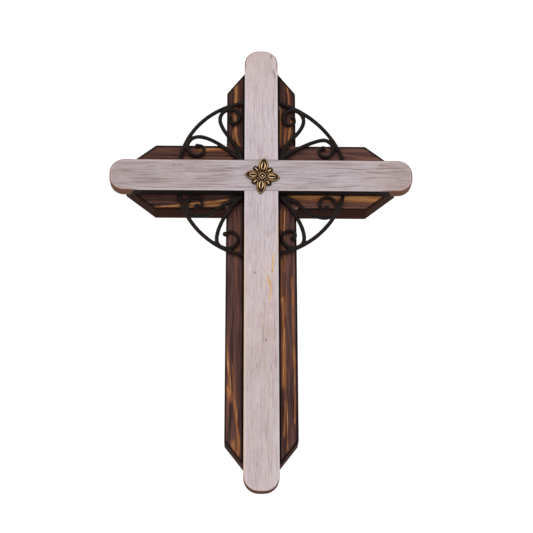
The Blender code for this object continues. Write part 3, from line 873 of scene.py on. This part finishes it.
class Graph:
    """A material's nodes, with short ways to add and join them."""

    def __init__(self, name):
        self.material = bpy.data.materials.new(name)
        self.material.use_nodes = True
        self.tree = self.material.node_tree
        self.shader = self.tree.nodes["Principled BSDF"]

    def put(self, target, value):
        if isinstance(value, bpy.types.NodeSocket):
            self.tree.links.new(value, target)
        else:
            target.default_value = value

    def node(self, kind, inputs=None, **settings):
        made = self.tree.nodes.new("ShaderNode" + kind)
        for key, value in settings.items():
            setattr(made, key, value)
        for key, value in (inputs or {}).items():
            self.put(made.inputs[key], value)
        return made

    def math(self, operation, first, second=0, third=None, clamp=False):
        made = self.node("Math", {0: first, 1: second}, operation=operation, use_clamp=clamp)
        if third is not None:
            self.put(made.inputs[2], third)
        return made.outputs[0]

    def span(self, value, low, high, to_low=0, to_high=1):
        """Maps low..high to to_low..to_high, smoothly and clamped."""
        made = self.node("MapRange",
            {"Value": value, "From Min": low, "From Max": high, "To Min": to_low, "To Max": to_high},
            interpolation_type="SMOOTHSTEP",
        )
        return made.outputs["Result"]

    def mix(self, share, first, second):
        made = self.node("Mix", data_type="RGBA")
        self.put(made.inputs[0], share)
        self.put(made.inputs[6], (*first, 1) if isinstance(first, tuple) else first)
        self.put(made.inputs[7], (*second, 1) if isinstance(second, tuple) else second)
        return made.outputs[2]

    def times(self, first, second):
        return self.math("MULTIPLY", first, second)

    def plus(self, first, second):
        return self.math("ADD", first, second)

    def around(self, value, factor):
        """A value between 0 and 1, centred on 0 and then scaled."""
        return self.times(self.math("SUBTRACT", value, 0.5), factor)

    def scaled(self, vector, factor):
        made = self.node("VectorMath", {0: vector, "Scale": factor}, operation="SCALE")
        return made.outputs[0]

    def place(self):
        return self.node("TexCoord").outputs["Object"]

    def ramp(self, value, stops):
        made = self.node("ValToRGB", {"Fac": value})
        ramp = made.color_ramp
        ramp.elements[0].position, ramp.elements[0].color = stops[0][0], (*stops[0][1], 1)
        ramp.elements[1].position, ramp.elements[1].color = stops[-1][0], (*stops[-1][1], 1)
        for place, color in stops[1:-1]:
            ramp.elements.new(place).color = (*color, 1)
        return made.outputs["Color"]

    def grained(self, fibre, spread, dark, middle, light):
        """Three colours along the fibre noise."""
        return self.ramp(fibre, [(0.5 - spread, dark), (0.5, middle), (0.5 + spread, light)])

    def attribute(self, name):
        return self.node("Attribute", attribute_name=name).outputs["Fac"]

    def board_space(self, upright):
        """(across, depth, along) in mm as one vector."""
        split = self.node("SeparateXYZ", {"Vector": self.place()}).outputs
        order = (split[0], split[1], split[2]) if upright else (split[2], split[1], split[0])
        joined = self.node("CombineXYZ", dict(enumerate(order))).outputs[0]
        return self.scaled(joined, 1000)

    def noise(self, space, across, along, detail, rough, offset):
        """Noise between 0 and 1, with so many cells a mm across the grain and along it."""
        inputs = {"Location": (offset, offset * 0.7, offset * 1.3), "Scale": (across, across, along)}
        moved = self.node("Mapping", {"Vector": space, **inputs})
        inputs = {"Vector": moved.outputs[0], "Scale": 1, "Detail": detail, "Roughness": rough}
        return self.node("TexNoise", inputs).outputs["Fac"]

    def finished(self, color, roughness, specular, height, distance, strength):
        """The material, once its shader has its colour, its gloss and a fine bump."""
        bump = self.node("Bump", {"Height": height, "Distance": distance, "Strength": strength})
        values = (color, roughness, specular, bump.outputs[0])
        for label, value in zip(("Base Color", "Roughness", "Specular IOR Level", "Normal"), values):
            self.put(self.shader.inputs[label], value)
        return self.material


def burnt_wood(name, upright, seed):
    g = Graph(name)
    space = g.board_space(upright)
    split = g.node("SeparateXYZ", {"Vector": space}).outputs
    sway = g.noise(space, 0.02, 0.008, 2, 0.5, seed)
    across = g.plus(split[0], g.around(sway, 26))
    depth = g.math("SUBTRACT", split[1], 38)
    ring = g.math("SQRT", g.plus(g.math("POWER", across, 2), g.math("POWER", depth, 2)))
    inputs = {"W": g.plus(ring, seed * 10), "Scale": 0.42, "Detail": 3}
    bands = g.node("TexNoise", inputs, noise_dimensions="1D").outputs["Fac"]
    fibre = g.noise(space, 2.3, 0.055, 4, 0.62, seed + 3)
    streak = g.noise(space, 0.42, 0.012, 3, 0.55, seed + 7)
    patch = g.noise(space, 0.045, 0.02, 2, 0.5, seed + 11)
    tone = g.math("MULTIPLY_ADD", bands, 0.3, g.math("MULTIPLY_ADD", fibre, 0.36, g.times(streak, 0.34)))
    tone = g.plus(tone, g.around(patch, 0.12))
    stops = [
        (0.35, (0.022, 0.013, 0.013)),
        (0.44, (0.066, 0.034, 0.031)),
        (0.52, (0.128, 0.058, 0.049)),
        (0.6, (0.2, 0.086, 0.063)),
        (0.72, (0.32, 0.14, 0.082)),
    ]
    dark = g.ramp(tone, stops)
    painted = g.attribute("pale")
    soft = g.plus(painted, g.around(streak, 0.5))
    fine = g.plus(painted, g.around(fibre, 1.1))
    shown = g.span(painted, 0.02, 0.35)
    glow = g.grained(fibre, 0.16, (0.17, 0.052, 0.02), (0.3, 0.105, 0.036), (0.44, 0.18, 0.062))
    core = g.grained(fibre, 0.16, (0.37, 0.145, 0.046), (0.56, 0.25, 0.09), (0.74, 0.43, 0.19))
    shade = g.attribute("shade")
    streak_shade = g.math("MULTIPLY_ADD", shade, 0.5, 0.5)
    glow = g.scaled(glow, streak_shade)
    core = g.scaled(core, streak_shade)
    color = g.scaled(dark, shade)
    color = g.mix(g.times(g.span(soft, 0.02, 0.9), shown), color, glow)
    color = g.mix(g.times(g.span(fine, 0.62, 1.02, 0, 0.9), shown), color, core)
    rim = g.attribute("rim")
    burnt = g.math("SUBTRACT", rim, g.times(fibre, 1.5))
    color = g.mix(g.span(burnt, 0.15, 1.35, 0.92, 0), color, (0.006, 0.004, 0.004))
    facing = g.attribute("facing")
    side = g.mix(g.span(tone, 0.38, 0.62), (0.022, 0.007, 0.0045), (0.062, 0.019, 0.01))
    end = g.mix(g.span(tone, 0.38, 0.62), (0.018, 0.006, 0.004), (0.054, 0.017, 0.01))
    side = g.mix(g.span(g.attribute("slant"), 0.5, 0.8), side, end)
    color = g.mix(g.span(facing, 0.25, 0.6), side, color)
    # Painted shade: near-black in the crevices beside the white boards and round the rods' roots
    color = g.mix(g.attribute("crevice_shade"), color, (0.005, 0.004, 0.004))
    color = g.mix(g.attribute("redline"), color, (0.11, 0.014, 0.014))
    # Pale spots by the rods' roots: glue and weld spatter with a painted highlight
    glint = g.times(g.attribute("glint"), g.span(fibre, 0.3, 0.6, 0.5, 1))
    color = g.mix(glint, color, (0.46, 0.37, 0.32))
    height = g.math("MULTIPLY_ADD", fibre, 0.6, g.times(bands, 0.4))
    return g.finished(color, g.span(fibre, 0.3, 0.7, 0.5, 0.78), 0.02, height, 0.0006, 0.6)


def paint_warm(g):
    """The whitewash where the wood warms it."""
    cloud = g.noise(g.place(), 60, 60, 2, 0.5, 4)
    return g.ramp(cloud, [(0.35, (0.56, 0.43, 0.4)), (0.65, (0.64, 0.52, 0.49))])


def whitewash(name, upright, seed):
    g = Graph(name)
    space = g.board_space(upright)
    sway = g.noise(space, 0.03, 0.012, 2, 0.5, seed)
    shift = g.node("CombineXYZ", {0: g.times(sway, 9)}).outputs[0]
    bent = g.node("VectorMath", {0: space, 1: shift}, operation="ADD").outputs[0]
    fibre = g.noise(bent, 1.7, 0.085, 5, 0.64, seed + 2)
    streak = g.noise(bent, 0.5, 0.016, 3, 0.55, seed + 5)
    cloud = g.noise(space, 0.09, 0.035, 3, 0.5, seed + 9)
    pore = g.noise(bent, 1.5, 0.24, 3, 0.55, seed + 13)
    fleck = g.noise(bent, 1.5, 0.34, 3, 0.55, seed + 17)
    tint = g.noise(space, 0.16, 0.07, 2, 0.5, seed + 21)
    tone = g.math("MULTIPLY_ADD", fibre, 0.5, g.math("MULTIPLY_ADD", streak, 0.32, g.times(cloud, 0.18)))
    stops = [
        (0.36, (0.4, 0.31, 0.325)),
        (0.44, (0.5, 0.425, 0.455)),
        (0.52, (0.575, 0.5, 0.535)),
        (0.64, (0.66, 0.595, 0.625)),
    ]
    paint = g.ramp(tone, stops)
    paint = g.scaled(paint, g.attribute("shade"))
    warmth = g.times(g.attribute("warmth"), 0.7)
    warm_share = g.math("ADD", g.span(tint, 0.48, 0.72, 0, 0.3), warmth, clamp=True)
    warm = g.mix(warm_share, paint, g.scaled(paint_warm(g), g.attribute("shade")))
    line = g.noise(bent, 1.35, 0.03, 2, 0.6, seed + 25)
    warm = g.mix(g.span(line, 0.52, 0.66, 0, 0.42 if upright else 0.85), warm, (0.22, 0.145, 0.14))
    warm = g.mix(g.span(pore, 0.56, 0.72, 0, 0.5), warm, (0.27, 0.195, 0.2))
    warm = g.mix(g.span(fleck, 0.6, 0.74, 0, 0.22), warm, (0.68, 0.61, 0.64))
    bare = g.grained(fibre, 0.15, (0.42, 0.23, 0.1), (0.58, 0.36, 0.17), (0.7, 0.5, 0.3))
    worn = g.attribute("worn")
    broken = g.plus(worn, g.around(fibre, 0.8))
    broken = g.plus(broken, g.around(pore, 0.7))
    share = g.times(g.span(broken, 0.4, 0.66), g.span(worn, 0.04, 0.25))
    color = g.mix(share, warm, bare)
    rim = g.attribute("rim")
    rub = g.plus(rim, g.around(fibre, 0.9))
    edge = g.span(rub, 0.35, 1.15, 1, 0)
    # Rim colour: a painted whitish highlight along the edges, with bare tan wear and scorched brown where
    # the attributes ask for them
    rim_wear_and_highlight = g.mix(g.attribute("tan"), (0.62, 0.55, 0.58), (0.8, 0.52, 0.36))
    rim_wear_and_highlight = g.mix(g.attribute("brown"), rim_wear_and_highlight, (0.27, 0.12, 0.085))
    color = g.mix(g.times(edge, 0.92), color, rim_wear_and_highlight)
    scorch = g.times(g.span(rub, 0.7, 1.5, 0.9, 0), g.attribute("brown"))
    color = g.mix(scorch, color, (0.24, 0.105, 0.07))
    # Painted highlight: a pale line along the rounded edge, just inside the rim
    ridge_highlight = g.times(g.span(rub, 0.9, 1.3), g.span(rub, 1.5, 2.2, 1, 0))
    color = g.mix(g.times(ridge_highlight, 0.25), color, (0.72, 0.65, 0.67))
    color = g.mix(g.attribute("marks"), color, (0.1, 0.065, 0.06))
    raw = g.grained(fibre, 0.15, (0.085, 0.036, 0.02), (0.15, 0.072, 0.042), (0.24, 0.13, 0.08))
    if upright:
        raw = g.mix(g.span(g.attribute("brown"), 0, 0.3, 0, 0.85), raw, (0.075, 0.024, 0.015))
    facing = g.attribute("facing")
    color = g.mix(g.span(facing, 0.25, 0.62), raw, color)
    # Painted near-black shade on the sides where they pass over the back boards
    color = g.mix(g.attribute("dark_shade"), color, (0.014, 0.011, 0.01))
    height = g.math("MULTIPLY_ADD", fibre, 0.7, g.times(pore, 0.3))
    return g.finished(color, g.span(fibre, 0.3, 0.7, 0.66, 0.86), 0.1, height, 0.00035, 0.6)


def black_iron():
    g = Graph("satin_black_iron")
    space = g.scaled(g.place(), 1000)
    coarse = g.noise(space, 0.5, 0.5, 3, 0.55, 2)
    fine = g.noise(space, 2.6, 2.6, 2, 0.5, 5)
    stops = [
        (0.35, (0.007, 0.0048, 0.0042)),
        (0.52, (0.012, 0.0084, 0.0074)),
        (0.68, (0.024, 0.016, 0.013)),
    ]
    color = g.ramp(coarse, stops)
    height = g.math("MULTIPLY_ADD", fine, 0.4, g.times(coarse, 0.6))
    return g.finished(color, g.span(fine, 0.3, 0.7, 0.48, 0.68), 0.09, height, 0.00025, 0.5)


def aged_brass():
    g = Graph("aged_brass")
    space = g.scaled(g.place(), 1000)
    spots = g.noise(space, 1.4, 1.4, 3, 0.55, 3)
    gloss = g.plus(g.attribute("gloss"), g.around(spots, 0.35))
    stops = [
        (0.05, (0.006, 0.004, 0.003)),
        (0.25, (0.045, 0.02, 0.008)),
        (0.45, (0.22, 0.11, 0.036)),
        (0.7, (0.52, 0.33, 0.14)),
        (0.95, (0.9, 0.68, 0.4)),
    ]
    color = g.ramp(gloss, stops)
    g.put(g.shader.inputs["Metallic"], g.span(gloss, 0.2, 0.6, 0.1, 1))
    return g.finished(color, g.span(gloss, 0.2, 0.8, 0.7, 0.34), 0.15, spots, 0.0002, 0.5)


def floor_paint():
    g = Graph("pale_floor")
    cloud = g.noise(g.place(), 3, 3, 3, 0.5, 1)
    color = g.ramp(cloud, [(0.3, (0.76, 0.76, 0.755)), (0.7, (0.8, 0.8, 0.8))])
    g.put(g.shader.inputs["Base Color"], color)
    g.shader.inputs["Roughness"].default_value = 0.9
    return g.material


# Stage

FLOOR_HALF, FLOOR_HEIGHT = 6.0, -0.86
# Each light's place, the sides of its square and its power in watts
LIGHTS = {"key": ((-0.9, -2.2, 1.3), 1.6, 34), "fill": ((1.6, -1.6, 0.2), 1.4, 9)}
LIGHT_TARGET = (0, 0, -0.1)
# The world's strength from in front of the object to behind it
WORLD_RANGE = {"From Min": -0.2, "From Max": 0.6, "To Min": 0.62, "To Max": 1.05}


def make_floor():
    builder = bmesh.new()
    bmesh.ops.create_grid(builder, x_segments=2, y_segments=2, size=FLOOR_HALF)
    floor = linked("floor", mesh_of(builder, "floor"))
    floor.location = (0, 0, FLOOR_HEIGHT)
    floor.data.materials.append(floor_paint())


def area_light(name, place, size, power):
    data = bpy.data.lights.new(name, "AREA")
    data.shape = "RECTANGLE"
    data.size = data.size_y = size
    data.energy = power
    light = linked(name, data)
    light.location = place
    light.rotation_euler = (Vector(LIGHT_TARGET) - Vector(place)).to_track_quat("-Z", "Y").to_euler()


def make_world():
    """Plain studio light: white behind the object, softer from the front, dim from below."""
    world = bpy.data.worlds.new("studio")
    bpy.context.scene.world = world
    world.use_nodes = True
    tree = world.node_tree
    background = tree.nodes["Background"]
    coordinates = tree.nodes.new("ShaderNodeTexCoord")
    split = tree.nodes.new("ShaderNodeSeparateXYZ")
    tree.links.new(coordinates.outputs["Generated"], split.inputs[0])
    behind = tree.nodes.new("ShaderNodeMapRange")
    for label, value in WORLD_RANGE.items():
        behind.inputs[label].default_value = value
    tree.links.new(split.outputs[1], behind.inputs["Value"])
    tree.links.new(behind.outputs["Result"], background.inputs["Strength"])
    background.inputs["Color"].default_value = (1, 1, 1, 1)


def make_camera():
    data = bpy.data.cameras.new("camera")
    data.lens = CAMERA_LENS
    data.sensor_width = SENSOR
    data.clip_start, data.clip_end = 0.01, 50
    camera = linked("camera", data)
    back = CAMERA_RIGHT.cross(CAMERA_UP)
    rotation = Matrix((CAMERA_RIGHT, CAMERA_UP, back)).transposed().to_4x4()
    camera.matrix_world = Matrix.Translation(CAMERA_PLACE) @ rotation
    bpy.context.scene.camera = camera


def on_front(marks, seed, **how):
    """Painted streaks that only the front face carries."""

    def painted(board):
        return streaks(board.across, board.along, marks, seed, **how) * (board.normals[:, 1] < -0.6)

    return painted


def make_boards(frame):
    upright = (True, 3.0, UPRIGHT_PALE, UPRIGHT_GLINTS, crevice_shade, nowhere, BACK_UPRIGHT_SHADE, 11)
    crossbar = (False, 8.0, CROSSBAR_PALE, CROSSBAR_GLINTS, bar_crevice_shade, red_line, BACK_CROSSBAR_SHADE, 23)
    boards = {"back_upright": upright, "back_crossbar": crossbar}
    for node, (upright, figure, pale, glints, dark_shade, red, shade, seed) in boards.items():
        painted = {
            "pale": on_front(pale, seed, fade_length=9.0, sway=1.2),
            "glint": on_front(glints, seed, fade_length=1.2, sway=0.5),
            # painted near-black shade in the crevices beside the white boards and round the rods' roots
            "crevice_shade": dark_shade,
            "redline": red,
            "shade": shade_along(shade),
        }
        made = fine_board(frame, node, upright, BACK_GRID, outline_room_back, seed, BACK_GRAIN, painted)
        made.data.materials.append(burnt_wood(node.replace("back", "burnt_pine"), upright, figure))
    upright = (True, 2.0, UPRIGHT_WORN, UPRIGHT_MARKS, upright_tan, upright_brown, FRONT_UPRIGHT_SHADE, 37)
    crossbar = (False, 6.0, [], CROSSBAR_MARKS, nowhere, crossbar_brown, FRONT_CROSSBAR_SHADE, 41)
    boards = {"front_upright": upright, "front_crossbar": crossbar}
    for node, (upright, figure, worn, spots, tan, brown, shade, seed) in boards.items():
        painted = {
            "worn": on_front(worn, seed, fade_length=1.5, sway=1.0),
            "marks": on_front(spots, seed, fade_length=1.0, sway=0.6),
            # painted near-black shade on the sides over the back boards
            "dark_shade": side_shade(upright),
            "tan": tan,
            "warmth": shade_along(UPRIGHT_WARMTH if upright else CROSSBAR_WARMTH),
            "brown": brown,
            "shade": shade_along(shade),
        }
        made = fine_board(frame, node, upright, FRONT_GRID, outline_room_front, seed, FRONT_GRAIN, painted)
        made.data.materials.append(whitewash(node.replace("front", "whitewash"), upright, figure))


def main():
    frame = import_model()
    make_boards(frame)
    iron = black_iron()
    for index, (node, (corner, arc, arm_scroll, upright_scroll)) in enumerate(CORNERS.items()):
        made = rod_work(node, corner, arc, arm_scroll, upright_scroll, index * 5)
        made.data.materials.append(iron)
    made = rosette()
    made.data.materials.append(aged_brass())
    make_floor()
    make_world()
    for name, (place, size, power) in LIGHTS.items():
        area_light(name, place, size, power)
    make_camera()
    bpy.context.scene.view_settings.view_transform = "Standard"


main()
